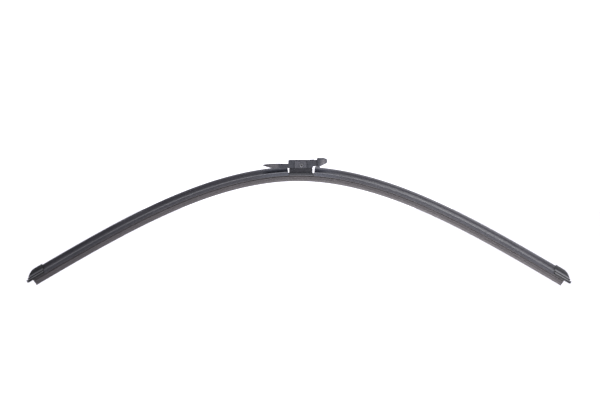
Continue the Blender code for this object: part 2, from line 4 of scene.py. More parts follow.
import bmesh
import bpy
import numpy as np
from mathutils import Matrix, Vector


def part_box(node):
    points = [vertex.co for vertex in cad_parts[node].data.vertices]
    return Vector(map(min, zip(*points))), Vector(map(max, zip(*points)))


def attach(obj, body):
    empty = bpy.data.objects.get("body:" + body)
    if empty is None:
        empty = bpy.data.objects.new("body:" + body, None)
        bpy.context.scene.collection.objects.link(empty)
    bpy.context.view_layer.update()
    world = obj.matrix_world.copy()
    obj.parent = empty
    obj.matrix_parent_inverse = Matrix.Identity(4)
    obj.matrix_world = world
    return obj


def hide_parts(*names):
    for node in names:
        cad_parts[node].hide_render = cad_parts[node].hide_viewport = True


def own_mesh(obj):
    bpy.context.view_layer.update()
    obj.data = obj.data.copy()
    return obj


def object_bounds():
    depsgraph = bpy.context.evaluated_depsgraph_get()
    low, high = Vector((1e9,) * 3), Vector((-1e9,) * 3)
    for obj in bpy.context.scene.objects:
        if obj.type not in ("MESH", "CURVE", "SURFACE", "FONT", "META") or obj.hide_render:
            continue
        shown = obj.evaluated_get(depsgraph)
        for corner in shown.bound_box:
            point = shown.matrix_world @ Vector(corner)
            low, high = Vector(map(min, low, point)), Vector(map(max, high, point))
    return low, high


# Looks of a flat windscreen wiper blade. The blade's sections are (across, up) in millimetres from its
# middle line, and the connector's outlines are (x, z) in millimetres from the tilt pivot.

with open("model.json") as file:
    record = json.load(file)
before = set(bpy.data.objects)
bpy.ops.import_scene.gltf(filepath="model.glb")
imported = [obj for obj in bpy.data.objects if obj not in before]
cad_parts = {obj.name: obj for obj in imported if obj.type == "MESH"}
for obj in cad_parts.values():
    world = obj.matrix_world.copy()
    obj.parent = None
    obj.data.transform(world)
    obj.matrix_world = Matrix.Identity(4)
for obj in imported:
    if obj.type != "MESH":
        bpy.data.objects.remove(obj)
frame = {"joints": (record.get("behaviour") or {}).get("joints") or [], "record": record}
cad_low, cad_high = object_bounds()

MM = 0.001
GAP = 0.3               # between pieces that touch on the real blade
SEAM = 0.1              # along a closed joint that shows from outside
RUNNING_CLEARANCE = 0.1
OVERRUN = 1.0           # how far a cutter reaches past the faces it cuts
JOINTS = {joint["name"]: joint for joint in frame["joints"]}
PIVOT = Vector(JOINTS["blade_tilt"]["pos_m"])
BODY_OF = {node: body for body, nodes in frame["record"]["behaviour"]["bodies"].items() for node in nodes}
SLOT_OF = {part["node"]: part["material_slot"] for part in frame["record"]["subparts"]}

# The blade's bend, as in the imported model
ARC_X = -3.8
ARC_Z = -9.4
CURVATURE = 0.00416
HALF_SPAN = 385.8
BEND_SLICES = 100
UNBEND_ROUNDS = 12
STATION_STEP = 3.0

# Distances along the blade, from the bend's centre
RUBBER_ENDS = (-324.5, 325.8)
TIPS = (-331.2, 333.4)
RAIL_OVERHANG = 2.0
BRACKET_ENDS = (-9.6, 17.0)
SPOILER_INNER_ENDS = (-10.6, 18.0)
CAP_LENGTH = 21.0
CAP_LEAN = 0.27
CAP_PROUD = 1.15
CAP_DOME_START = 14.5
CAP_DOME_STEPS = 26
CAP_TAPER = 9.0
CAP_TIP_NARROWING = 0.3
CAP_FLANGE = 2.6
CAP_EDGE = 3.2
CAP_FLANGE_TOP = 1.7
CAP_BOTTOM = -1.2
CAP_ROUNDING = 0.22
CAP_CHANNEL_BEND = 11.0   # from the tip

# The blade's section
CREST = 8.2
LIP = -8.2
CREST_HALF_WIDTH = 0.8
FLANK_TOP = 7.6
FLANK_STEPS = 26
FLARE_HALF_WIDTH = 6.0
FLARE_HEIGHT = 2.55
FLARE_EDGE = 2.25
BAND_HALF_WIDTH = 6.1
BAND_TOP = 1.1
BAND_BOTTOM = -1.7
RAIL_INNER = 1.6
RAIL_OUTER = 5.1
RAIL_TOP = 0.15
RAIL_BOTTOM = -0.75
SLOT_TOP = RAIL_TOP + GAP
SLOT_BOTTOM = RAIL_BOTTOM - GAP
CLAW_INNER = 4.3
HEAD_HALF_WIDTH = 3.0
HEAD_TOP = 1.5
CHANNEL_HALF_WIDTH = 3.4
CHANNEL_TOP = 1.8

# The connector
WALL = 1.4
PIN_RADIUS = 2.4
DIMPLE_RADIUS = 1.0
DIMPLE_DEPTH = 0.9
PLATE_ENDS = (-7.3, 5.3)
PLATE_INNER = 6.3
PLATE_FLANGE = 1.3
PLATE_MARGIN = 0.7
PLATE_RING_RADIUS = 3.3
NECK_ENDS = (-13.9, 12.4)
NECK_TOP = -3.0
NECK_HALF_WIDTH = 6.0
BOSS_RADIUS = 3.9
HOUSING_LEAN = 0.08
ROOF_THICKNESS = 0.9
LAND_DEPTH = 0.18
WALL_GROOVES = ((-9.1, -8.3), (6.3, 7.1))   # beside the bearing plates
WALL_GROOVE_DEPTH = 0.5
SHELF_ENDS = (6.9, 13.9)   # the ledge that the lock spring stands on
SHELF_TOP = 0.7
SHELF_BOTTOM = -0.1
WINDOW_FOOT = -8.4
WINDOW_TOP = -0.7
WINDOW_EDGES = ((-14.9, -16.0), (13.5, 15.1))   # each spoiler's cut edge at a window's foot and top
RIDGE_ENDS = (15.6, 20.3)
RIDGE_TOP = -1.0
RIDGE_HALF_WIDTH = 0.7
RIVETS = {"base_rivet_inboard": -9.6, "base_rivet_outboard": 8.6}
RIVET_RADIUS = 1.0
RIVET_HEAD_RADIUS = 1.9
BUTTON_X = 9.7
BUTTON_HALF_LENGTH = 4.5
BUTTON_RIM = 0.7
BUTTON_RIM_TOP = 4.9
GRIP_LINES = (-1.8, -0.6, 0.6, 1.8)
GRIP_HALF_WIDTH = 0.22
SPRING_WIRE = 0.4
SPRING_TURNS = 4

# The camera looks square on to the side of the blade, from the height of the picture's middle
VIEW_CENTRE = Vector((-0.0017, 0.0, PIVOT.z - 0.0388))
VIEW_WIDTH = 0.6749

# The studio is darkest on the camera's inboard side
BRIGHT_SIDE = (0.60, 0.80, 0.0)
WORLD_FADE = (-0.85, 0.1)   # how far towards BRIGHT_SIDE the levels begin and end
WORLD_LEVELS = (0.03, 1.48)
WORLD_TINT = (0.985, 0.975, 1.06)
LENS = 100.0
SENSOR = 36.0
FLOOR_DROP = 0.12   # the floor's depth below the blade's tips
FLOOR_RADII = (0.5, 2.0, 8.0, 40.0)
FLOOR_SIDES = 96


def node_box(node):
    """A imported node's lowest and highest corners, in millimetres from the pivot."""
    low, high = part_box(node)
    return (low - PIVOT) / MM, (high - PIVOT) / MM


# Outlines

def around(centre, radius, angle):
    return centre[0] + radius * math.cos(angle), centre[1] + radius * math.sin(angle)


def circle(radius, centre=(0.0, 0.0), sides=64):
    turns = np.linspace(0.0, 2 * math.pi, sides, endpoint=False)
    return [around(centre, radius, turn) for turn in turns]


def arc(centre, radius, start, end, steps):
    """A round stretch between two angles in degrees."""
    angles = np.radians(np.linspace(start, end, steps + 1))
    return [around(centre, radius, angle) for angle in angles]


def rectangle(left, right, bottom, top):
    return [(left, bottom), (right, bottom), (right, top), (left, top)]


def rounded(outline, radius, steps=4, least_turn=20.0):
    """Round the corners of a closed outline that turn by more than least_turn degrees."""
    result = []
    count = len(outline)
    for index, point in enumerate(outline):
        corner = Vector(point)
        before = Vector(outline[index - 1]) - corner
        after = Vector(outline[(index + 1) % count]) - corner
        turn = math.pi - before.angle(after, 0.0)
        if turn < math.radians(least_turn):
            result.append(tuple(corner))
            continue
        reach = min(radius * math.tan(turn / 2), 0.45 * before.length, 0.45 * after.length)
        start = corner + before.normalized() * reach
        end = corner + after.normalized() * reach
        for step in range(steps + 1):
            share = step / steps
            pull = corner * 2 * share * (1 - share)
            result.append(tuple(start * (1 - share) ** 2 + pull + end * share ** 2))
    return result


def mirrored(half):
    """Close a section from its +Y half, listed from the top down or round."""
    return half + [(-across, up) for across, up in reversed(half)]


# Meshes

def closed_piece(name, rings):
    """Join rings of points in millimetres from the pivot into one closed piece in metres."""
    rings = np.asarray(rings, float)
    count, sides = rings.shape[:2]
    points = rings.reshape(-1, 3) * MM + np.array(PIVOT)
    faces = []
    for row in range(count - 1):
        for side in range(sides):
            after = (side + 1) % sides
            this, other = row * sides, (row + 1) * sides
            faces.append((this + side, this + after, other + after, other + side))
    faces.append(tuple(range(sides - 1, -1, -1)))
    faces.append(tuple(range((count - 1) * sides, count * sides)))
    mesh = bpy.data.meshes.new(name)
    mesh.from_pydata(points.tolist(), [], faces)
    return add_piece(name, mesh)


def add_piece(name, mesh):
    """Make an object of a mesh, with its faces pointing out."""
    shape = bmesh.new()
    shape.from_mesh(mesh)
    bmesh.ops.recalc_face_normals(shape, faces=shape.faces)
    shape.to_mesh(mesh)
    shape.free()
    piece = bpy.data.objects.new(name, mesh)
    bpy.context.scene.collection.objects.link(piece)
    return piece


def prism_across(name, outline, low, high):
    """A side outline of (x, z) points, extruded along Y."""
    return closed_piece(name, [[(x, y, z) for x, z in outline] for y in (low, high)])


def prism_up(name, outline, low, high):
    """A plan outline of (x, y) points, extruded along Z."""
    return closed_piece(name, [[(x, y, z) for x, y in outline] for z in (low, high)])


def block(name, x_range, y_range, z_range):
    return prism_across(name, rectangle(*x_range, *z_range), *y_range)


def on_side(side, near, far):
    """A range across the blade, between two distances from its middle, on the -Y or the +Y side."""
    return sorted((side * near, side * far))


def combine(target, other, operation='DIFFERENCE'):
    """Cut, join or intersect a piece with another, which is used up."""
    modifier = target.modifiers.new("combine", 'BOOLEAN')
    modifier.object = other
    modifier.operation = operation
    modifier.solver = 'EXACT'
    apply_modifiers(target)
    bpy.data.objects.remove(other, do_unlink=True)


def apply_modifiers(piece):
    bpy.context.view_layer.update()
    evaluated = piece.evaluated_get(bpy.context.evaluated_depsgraph_get())
    mesh = bpy.data.meshes.new_from_object(evaluated)
    piece.modifiers.clear()
    piece.data = mesh


def clean(piece):
    """Dissolve the extra edges that Booleans leave in flat faces."""
    shape = bmesh.new()
    shape.from_mesh(piece.data)
    bmesh.ops.remove_doubles(shape, verts=shape.verts, dist=1e-7)
    bmesh.ops.dissolve_limit(shape, angle_limit=math.radians(0.5), verts=shape.verts, edges=shape.edges)
    shape.to_mesh(piece.data)
    shape.free()


def soften(piece, width, segments=3, angle=35.0):
    """Round a piece's sharp edges by a width in millimetres, and shade it smooth."""
    clean(piece)
    bevel = piece.modifiers.new("bevel", 'BEVEL')
    bevel.width = width * MM
    bevel.segments = segments
    bevel.limit_method = 'ANGLE'
    bevel.angle_limit = math.radians(angle)
    bevel.use_clamp_overlap = False
    bevel.miter_outer = 'MITER_ARC'
    apply_modifiers(piece)
    shade(piece)


def shade(piece, angle=40.0):
    """Shade smooth but keep sharp edges, and weight the normals so that flat faces look flat."""
    piece.data.shade_smooth()
    piece.data.set_sharp_from_angle(angle=math.radians(angle))
    weighted = piece.modifiers.new("weighted_normals", 'WEIGHTED_NORMAL')
    weighted.keep_sharp = True
    apply_modifiers(piece)


# The blade's bend

def slope_at(along):
    """Slope of the middle line at a distance along it, positive where it falls towards +X."""
    rest = (1.0 - np.abs(along) / HALF_SPAN) ** 3
    return np.sign(along) * CURVATURE * HALF_SPAN / 3.0 * (1.0 - rest)


def bent(along, across, up):
    """Place points of the straight blade on the bent one, in millimetres from the pivot."""
    along, across, up = np.broadcast_arrays(*(np.asarray(value, float) for value in (along, across, up)))
    shares = (np.arange(BEND_SLICES) + 0.5) / BEND_SLICES
    angles = slope_at(along[..., None] * shares)
    x = ARC_X + along * np.cos(angles).mean(-1)
    z = ARC_Z - along * np.sin(angles).mean(-1)
    slope = slope_at(along)
    return np.stack([x + up * np.sin(slope), across, z + up * np.cos(slope)], -1)


def unbent(points):
    """The straight blade's (along, across, up) for points given in millimetres from the pivot."""
    along = points[:, 0] - ARC_X
    for _ in range(UNBEND_ROUNDS):
        slope = slope_at(along)
        offset = points - bent(along, 0.0, 0.0)
        along = along + offset[:, 0] * np.cos(slope) - offset[:, 2] * np.sin(slope)
    up = offset[:, 0] * np.sin(slope) + offset[:, 2] * np.cos(slope)
    return np.stack([along, points[:, 1], up], -1)


def points_of(mesh):
    points = np.empty(len(mesh.vertices) * 3)
    mesh.vertices.foreach_get("co", points)
    return points.reshape(-1, 3)


def store_place(mesh, name, places):
    """Keep a place for each point of a mesh, for the materials."""
    attribute = mesh.attributes.new(name, 'FLOAT_VECTOR', 'POINT')
    attribute.data.foreach_set("vector", places.astype(np.float32).ravel())


def store_straight_place(mesh):
    """Keep each point's place on the straight blade, in millimetres."""
    store_place(mesh, "place", unbent((points_of(mesh) - np.array(PIVOT)) / MM))


def stations(start, end):
    """Places for cross-sections along the blade, about STATION_STEP apart."""
    return list(np.linspace(start, end, max(2, round(abs(end - start) / STATION_STEP) + 1)))


def ring(section, place, lean=0.0):
    """One cross-section of the blade; a lean tips it along the blade about its foot."""
    across, up = np.array(section).T
    return bent(place + lean * (up - BAND_BOTTOM), across, up)


def sweep(name, section, places):
    return closed_piece(name, [ring(section, place) for place in places])


# The blade's sections

def flank_half(grow, crest, foot):
    """The +Y half of a fin with hollow flanks, from its rounded crest to its turned-out foot."""
    top = FLANK_TOP + crest - CREST
    crest_arc = arc((0.0, top), CREST_HALF_WIDTH + grow, 62, 12, 4)
    points = [(across, min(up, crest)) for across, up in crest_arc]
    for share in np.linspace(0.0, 1.0, FLANK_STEPS + 1):
        width = CREST_HALF_WIDTH + (FLARE_HALF_WIDTH - CREST_HALF_WIDTH) * share ** 3 + grow
        points.append((width, top - share * (top - foot)))
    return points


def channel_half():
    """The +Y half of the slot that holds the rails and the rubber's head, from its mouth up."""
    return [
        (CLAW_INNER, BAND_BOTTOM), (CLAW_INNER, SLOT_BOTTOM), (RAIL_OUTER + GAP, SLOT_BOTTOM),
        (RAIL_OUTER + GAP, SLOT_TOP), (CHANNEL_HALF_WIDTH, SLOT_TOP), (CHANNEL_HALF_WIDTH, CHANNEL_TOP),
    ]


def spoiler_half():
    """The flank, the flare's edge, the groove below it, and the band with two fine extruded lines."""
    flare, wide = FLARE_HALF_WIDTH, BAND_HALF_WIDTH
    half = flank_half(0.0, CREST, FLARE_HEIGHT) + [
        (flare + 0.22, FLARE_EDGE + 0.22), (flare + 0.3, FLARE_EDGE), (flare + 0.2, FLARE_EDGE - 0.18),
        (wide - 0.35, BAND_TOP + 0.5), (wide - 0.4, BAND_TOP + 0.3), (wide - 0.15, BAND_TOP),
        (wide, BAND_TOP - 0.2),
    ]
    for line in (0.25, -0.95):
        half += [(wide, line + 0.16), (wide - 0.12, line + 0.06)]
        half += [(wide - 0.12, line - 0.06), (wide, line - 0.16)]
    return half + [(wide, BAND_BOTTOM + 0.3), (wide - 0.1, BAND_BOTTOM + 0.08), (wide - 0.3, BAND_BOTTOM)]


def spoiler_section(inset=0.0):
    """The spoiler's section. An inset draws its outside in, for the tongue inside the end cap."""
    middle = (CREST + BAND_BOTTOM) / 2
    keep = 1.0 - inset / (CREST - middle)
    outside = []
    for across, up in spoiler_half():
        outside.append((across ** 2 / (across + inset), middle + (up - middle) * keep))
    return mirrored(outside + [(CLAW_INNER, outside[-1][1])] + channel_half()[1:])


def head_half():
    """The +Y half of the head between the rails, which the rubber and its stops share."""
    return [
        (HEAD_HALF_WIDTH, HEAD_TOP), (HEAD_HALF_WIDTH, SLOT_TOP), (RAIL_INNER - GAP, SLOT_TOP),
        (RAIL_INNER - GAP, SLOT_BOTTOM),
    ]


def rubber_section():
    """Head, shoulder, thin hinge, wings and the wiping lip with its square edge."""
    below_head = [
        (3.6, SLOT_BOTTOM), (3.6, -2.3), (0.6, -2.4), (0.6, -2.7), (3.3, -2.8), (3.3, -3.5),
        (1.75, -4.55), (1.0, -5.2), (0.72, -5.5), (0.62, -5.7), (0.5, -6.2), (0.42, -7.4), (0.35, LIP),
    ]
    return rounded(mirrored(head_half() + below_head), 0.2, steps=3)


def rail_section(side):
    corners = rectangle(RAIL_INNER, RAIL_OUTER, RAIL_BOTTOM, RAIL_TOP)
    return rounded([(side * across, up) for across, up in corners], 0.2)


def bracket_section():
    foot = BAND_BOTTOM - 0.1
    outside = [(4.4, 2.6), (4.4, BAND_TOP), (6.5, BAND_TOP), (6.5, foot), (CLAW_INNER, foot)]
    return rounded(mirrored(outside + channel_half()[1:]), 0.25)


# The blade's pieces

def add_rubber():
    rubber = sweep("rubber_element", rubber_section(), stations(*RUBBER_ENDS))
    shade(rubber, 50.0)
    return {"wiper_rubber": rubber}


def add_rails():
    rails = {}
    ends = (RUBBER_ENDS[0] - RAIL_OVERHANG, RUBBER_ENDS[1] + RAIL_OVERHANG)
    for node, side in (("front_rail", -1), ("rear_rail", 1)):
        rails[node] = sweep(node + "_strip", rail_section(side), stations(*ends))
        shade(rails[node], 50.0)
    return rails


def add_spoilers():
    """Each fin is cut back beside the connector; a foot runs to the bracket, and a tongue into the cap."""
    section = spoiler_section()
    tongue = spoiler_section(inset=0.35)
    nodes = ("spoiler_inboard", "spoiler_outboard")
    spoilers = {}
    for node, inner_end, tip, (edge_foot, edge_top) in zip(nodes, SPOILER_INNER_ENDS, TIPS, WINDOW_EDGES):
        side = math.copysign(1.0, tip)
        joint = tip - side * (CAP_LENGTH + GAP)
        lean = -side * CAP_LEAN
        rings = [ring(section, place) for place in stations(inner_end, joint)[:-1]]
        tongue_end = joint + side * (GAP - 0.01)
        rings += [ring(section, joint, lean), ring(tongue, joint, lean), ring(tongue, tongue_end, lean)]
        spoiler = closed_piece(node + "_strip", rings)
        if node == "spoiler_outboard":
            combine(spoiler, ridge(), 'UNION')
        window = [
            (0.0, WINDOW_FOOT), (edge_foot, WINDOW_FOOT), (edge_top, WINDOW_TOP), (edge_top, 5.0),
            (0.0, 5.0),
        ]
        combine(spoiler, prism_across(node + "_window", window, -9.0, 9.0))
        shade(spoiler)
        spoilers[node] = spoiler
    return spoilers


def ridge():
    """A low ridge on the outboard crest, which closes the gap below the nose."""
    start, end = RIDGE_ENDS
    outline = [
        (start, RIDGE_TOP - 3.0), (start, RIDGE_TOP - 0.2), (start + 0.2, RIDGE_TOP), (end, RIDGE_TOP),
        (end + 1.4, RIDGE_TOP - 3.0),
    ]
    return prism_across("ridge", outline, -RIDGE_HALF_WIDTH, RIDGE_HALF_WIDTH)


def cap_half():
    """The +Y half of the end cap's outside: a sleeve over the spoiler, a ledge, a groove and a flange."""
    ledge = [(0.8, CAP_EDGE - 0.12), (0.9, CAP_EDGE - 0.3), (0.95, 2.8), (0.9, 2.6)]
    groove = [(0.5, 2.35), (0.4, 2.15), (0.45, 1.9)]
    flange = [
        (0.85, 1.45), (0.97, 1.3), (1.0, 1.1), (1.0, CAP_BOTTOM + 0.6), (0.93, CAP_BOTTOM + 0.25),
        (0.7, CAP_BOTTOM + 0.05), (0.5, CAP_BOTTOM),
    ]
    rim = [(FLARE_HALF_WIDTH + proud, up) for proud, up in ledge + groove + flange]
    return flank_half(0.6, CREST + CAP_PROUD, CAP_EDGE) + rim


def cap_top(from_tip):
    """Height of the end cap's crest, by distance from the cap's tip: a dome, then a flat flange."""
    if from_tip < CAP_FLANGE:
        return CAP_FLANGE_TOP
    share = max(0.0, (CAP_DOME_START - from_tip) / (CAP_DOME_START - CAP_FLANGE))
    return CAP_EDGE + (CREST + CAP_PROUD - CAP_EDGE) * (1.0 - share ** 2) ** 0.9


def lowered(half, top):
    """Bring the cap's half section down to a given top: the dome is squashed, the flange cut off flat."""
    if top > CAP_EDGE:
        keep = (top - CAP_EDGE) / (CREST + CAP_PROUD - CAP_EDGE)
        return [(across, min(up, CAP_EDGE + (up - CAP_EDGE) * keep)) for across, up in half]
    cut = sum(up > top for _, up in half)
    widths = np.linspace(0.5, FLARE_HALF_WIDTH + 0.4, cut)
    return [(width, top) for width in widths] + half[cut:]


def cap_ring(tip, from_tip, inset=0.0):
    """The end cap's cross-section at a distance from its tip; it leans at the cap's mouth."""
    side = math.copysign(1.0, tip)
    top = cap_top(from_tip)
    middle = (CAP_BOTTOM + top) / 2
    keep = 1.0 - 2 * inset / (top - CAP_BOTTOM)
    narrowing = CAP_TIP_NARROWING * max(0.0, 1.0 - from_tip / CAP_TAPER) ** 2
    narrow = 1.0 - narrowing - inset / FLARE_HALF_WIDTH
    half = [(across * narrow, middle + (up - middle) * keep) for across, up in lowered(cap_half(), top)]
    lean = -side * CAP_LEAN * (from_tip > CAP_LENGTH - 0.5)
    return ring(mirrored(half), tip - side * from_tip, lean)


def add_end_caps():
    """A dome over the spoiler's end, closed by a flange; the tip and the mouth are rounded."""
    turns = np.linspace(0.0, math.pi / 2, 5)
    tip_rounding = CAP_ROUNDING * (1.0 - np.stack([np.cos(turns), np.sin(turns)], -1))
    flange = [0.6, 1.2, 1.8, CAP_FLANGE - 0.12, CAP_FLANGE - 0.01]
    shares = [(step / CAP_DOME_STEPS) ** 1.6 for step in range(CAP_DOME_STEPS + 1)]
    dome = [CAP_FLANGE + 0.01 + (CAP_DOME_START - CAP_FLANGE) * share for share in shares]
    sleeve = [16.0, 17.5, 19.0, CAP_LENGTH - CAP_ROUNDING]
    caps = {}
    for node, tip, rubber_end in zip(("end_cap_inboard", "end_cap_outboard"), TIPS, RUBBER_ENDS):
        side = math.copysign(1.0, tip)
        rings = [cap_ring(tip, place, inset) for place, inset in tip_rounding]
        rings += [cap_ring(tip, place) for place in flange + dome + sleeve]
        rings.append(cap_ring(tip, CAP_LENGTH, CAP_ROUNDING))
        cap = closed_piece(node + "_shell", rings)
        channel = mirrored([(CLAW_INNER, CAP_BOTTOM - 2.0)] + channel_half()[1:])
        mouth = tip - side * (CAP_LENGTH + 5.0)
        bottom = rubber_end + side * (RAIL_OVERHANG + GAP)
        places = [mouth, tip - side * CAP_CHANNEL_BEND, bottom]
        combine(cap, sweep(node + "_channel", channel, places))
        shade(cap, 42.0)
        caps[node] = cap
    return caps


def add_rail_clips():
    """Small stops between the rail ends that keep the rubber from sliding out."""
    clips = {}
    for node, rubber_end in zip(("rail_clip_inboard", "rail_clip_outboard"), RUBBER_ENDS):
        side = math.copysign(1.0, rubber_end)
        places = [rubber_end + side * GAP, rubber_end + side * RAIL_OVERHANG]
        clips[node] = sweep(node + "_stop", mirrored(head_half()), places)
        soften(clips[node], 0.12, segments=2)
    return clips


def add_bracket():
    """The steel foot under the neck, folded round the rails and drilled for the rivets."""
    bracket = sweep("rail_bracket_pressing", bracket_section(), stations(*BRACKET_ENDS))
    past_neck = (NECK_ENDS[1] - 0.2, NECK_ENDS[1] + 3.0)
    combine(bracket, block("past_neck", past_neck, (-9.0, 9.0), (WINDOW_FOOT - 0.4, NECK_TOP)))
    for x in RIVETS.values():
        combine(bracket, prism_up("hole", circle(RIVET_RADIUS + GAP, (x, 0.0), 32), -9.0, -5.0))
    shade(bracket)
    return {"rail_bracket": bracket}


def add_base():
    """The moulded base: a neck between the windows, with a round-topped boss that carries the pin."""
    inboard, outboard = NECK_ENDS
    foot = ARC_Z + BAND_TOP + GAP - 1.2
    outline = [
        (inboard, foot), (outboard, foot), (outboard, NECK_TOP - 0.8), (outboard - 0.8, NECK_TOP),
        (BOSS_RADIUS + 0.4, NECK_TOP),
    ]
    outline += arc((0.0, 0.0), BOSS_RADIUS, 0, 180, 32)
    outline += [(-BOSS_RADIUS - 0.4, NECK_TOP), (inboard + 0.8, NECK_TOP), (inboard, NECK_TOP - 0.8)]
    base = prism_across("base_moulding", outline, -NECK_HALF_WIDTH, NECK_HALF_WIDTH)
    seat_half = [(4.4 + GAP, 2.6 + GAP), (4.4 + GAP, BAND_TOP + GAP), (9.0, BAND_TOP + GAP), (9.0, -4.0)]
    seat_places = stations(BRACKET_ENDS[0] - 6.0, BRACKET_ENDS[1] + 6.0)
    combine(base, sweep("seat", mirrored(seat_half), seat_places))
    combine(base, prism_across("bore", circle(PIN_RADIUS + RUNNING_CLEARANCE), -8.0, 8.0))
    for x in RIVETS.values():
        combine(base, prism_up("hole", circle(RIVET_RADIUS + GAP, (x, 0.0), 32), -9.0, 0.0))
    for side in (-1, 1):
        panel = on_side(side, NECK_HALF_WIDTH - 0.35, NECK_HALF_WIDTH + OVERRUN)
        combine(base, block("panel", (inboard + 1.6, outboard - 1.6), panel, (-7.2, -4.4)))
    soften(base, 0.14)
    return {"connector_base": base}


def add_pin():
    """A pin that is pressed into the base, with a turned groove and a punched dimple in each end."""
    reach = node_box("pivot_pin")[1].y
    end = [
        (0.25, reach - DIMPLE_DEPTH), (0.55, reach - 0.8 * DIMPLE_DEPTH),
        (0.8, reach - 0.45 * DIMPLE_DEPTH), (DIMPLE_RADIUS, reach),
        (1.6, reach), (1.66, reach - 0.1), (1.78, reach - 0.1), (1.84, reach),
        (PIN_RADIUS - 0.3, reach), (PIN_RADIUS - 0.1, reach - 0.08), (PIN_RADIUS, reach - 0.28),
    ]
    end += [(PIN_RADIUS, NECK_HALF_WIDTH), (PIN_RADIUS + 0.08, NECK_HALF_WIDTH - 0.1)]
    profile = end + [(radius, -distance) for radius, distance in reversed(end)]
    rings = [[(x, distance, z) for x, z in circle(radius)] for radius, distance in profile]
    pin = closed_piece("pivot_rivet", rings)
    shade(pin, 50.0)
    return {"pivot_pin": pin}


def add_rivets():
    """Each rivet is a shank with a domed head that bears on the neck."""
    rivets = {}
    for node, x in RIVETS.items():
        low, high = node_box(node)
        head = high.z - 0.8
        profile = [(RIVET_RADIUS, low.z), (RIVET_RADIUS, head), (RIVET_HEAD_RADIUS, head)]
        for turn in np.linspace(0.0, math.pi / 2, 7)[:-1]:
            profile.append((RIVET_HEAD_RADIUS * math.cos(turn) * 0.99, head + 0.2 + 0.6 * math.sin(turn)))
        rings = [[(px, py, z) for px, py in circle(radius, (x, 0.0), 32)] for radius, z in profile]
        rivets[node] = closed_piece(node + "_turned", rings)
        shade(rivets[node], 45.0)
    return rivets


# The adapter's pieces

def housing_end(z):
    """Where the housing's leaning inboard end stands, at a height."""
    low = node_box("adapter_housing")[0]
    return low.x + HOUSING_LEAN * (z - low.z)


def add_housing():
    """The body that the arm's channel slides over: a hollow box, open below, with lands on its roof."""
    low, high = node_box("adapter_housing")
    outline = [
        (low.x, low.z), (NECK_ENDS[1], low.z), (NECK_ENDS[1] + 0.8, WINDOW_TOP), (high.x, WINDOW_TOP),
        (high.x, high.z), (housing_end(high.z) + 0.5, high.z), (housing_end(high.z - 0.5), high.z - 0.5),
    ]
    half = high.y
    inner = half - WALL
    end_wall = housing_end(high.z) + WALL
    roof = high.z - ROOF_THICKNESS
    below = low.z - OVERRUN
    above = high.z + OVERRUN
    housing = prism_across("housing_moulding", outline, -half, half)
    shelf_start, shelf_end = SHELF_ENDS
    cavity = [
        (low.x - OVERRUN, below), (low.x - OVERRUN, -1.0), (end_wall, -1.0), (end_wall, roof),
        (high.x + OVERRUN, roof), (high.x + OVERRUN, below), (shelf_end, below), (shelf_end, SHELF_TOP),
        (shelf_start, SHELF_TOP), (shelf_start, below),
    ]
    combine(housing, prism_across("cavity", cavity, -inner, inner))
    under_shelf = (shelf_start - 0.5, shelf_end + 0.5)
    combine(housing, block("under_shelf", under_shelf, (-inner, inner), (below, SHELF_BOTTOM)))
    window = (PLATE_ENDS[0] - GAP, PLATE_ENDS[1] + GAP)
    combine(housing, block("plate_window", window, (-half - OVERRUN, half + OVERRUN), (below, roof)))
    aperture = BUTTON_HALF_LENGTH + GAP
    hole = (BUTTON_X - aperture, BUTTON_X + aperture)
    combine(housing, block("button_hole", hole, (-aperture, aperture), (roof - OVERRUN, above)))
    length = (low.x - OVERRUN, high.x + OVERRUN)
    for side in (-1, 1):
        land = on_side(side, half - LAND_DEPTH, half + OVERRUN)
        combine(housing, block("roof_land", length, land, (high.z - 1.0, above)))
        groove = on_side(side, half - WALL_GROOVE_DEPTH, half + OVERRUN)
        for grooved in WALL_GROOVES:
            combine(housing, block("wall_groove", grooved, groove, (below, high.z - 1.5)))
    soften(housing, 0.12)
    return {"adapter_housing": housing}


def add_bearing_plates():
    """A plate in each side of the housing, flanged on the inside, with a raised ring round its bore."""
    plates = {}
    flange = node_box("adapter_housing")[1].y - WALL - GAP
    first, last = PLATE_ENDS
    flange_first, flange_last = first - PLATE_FLANGE, last + PLATE_FLANGE
    for node, side in (("front_bearing_plate", -1), ("rear_bearing_plate", 1)):
        low, high = node_box(node)
        outer = max(abs(low.y), abs(high.y))
        outline = [
            (flange_first, PLATE_INNER), (flange_last, PLATE_INNER), (flange_last, flange),
            (last, flange), (last, outer), (first, outer), (first, flange), (flange_first, flange),
        ]
        plate = prism_up(node + "_moulding", [(x, side * y) for x, y in outline], low.z, high.z)
        recess = on_side(side, outer - 0.22, outer + OVERRUN)
        panel_x = (first + PLATE_MARGIN, last - PLATE_MARGIN)
        panel_z = (low.z + PLATE_MARGIN, high.z - PLATE_MARGIN)
        pad = prism_across("panel", rounded(rectangle(*panel_x, *panel_z), 0.5), *recess)
        combine(pad, prism_across("ring", circle(PLATE_RING_RADIUS), -12.0, 12.0))
        combine(plate, pad)
        bore = prism_across("bore", circle(PIN_RADIUS + RUNNING_CLEARANCE), *on_side(side, 5.0, 11.0))
        combine(plate, bore)
        soften(plate, 0.1)
        plates[node] = plate
    return plates


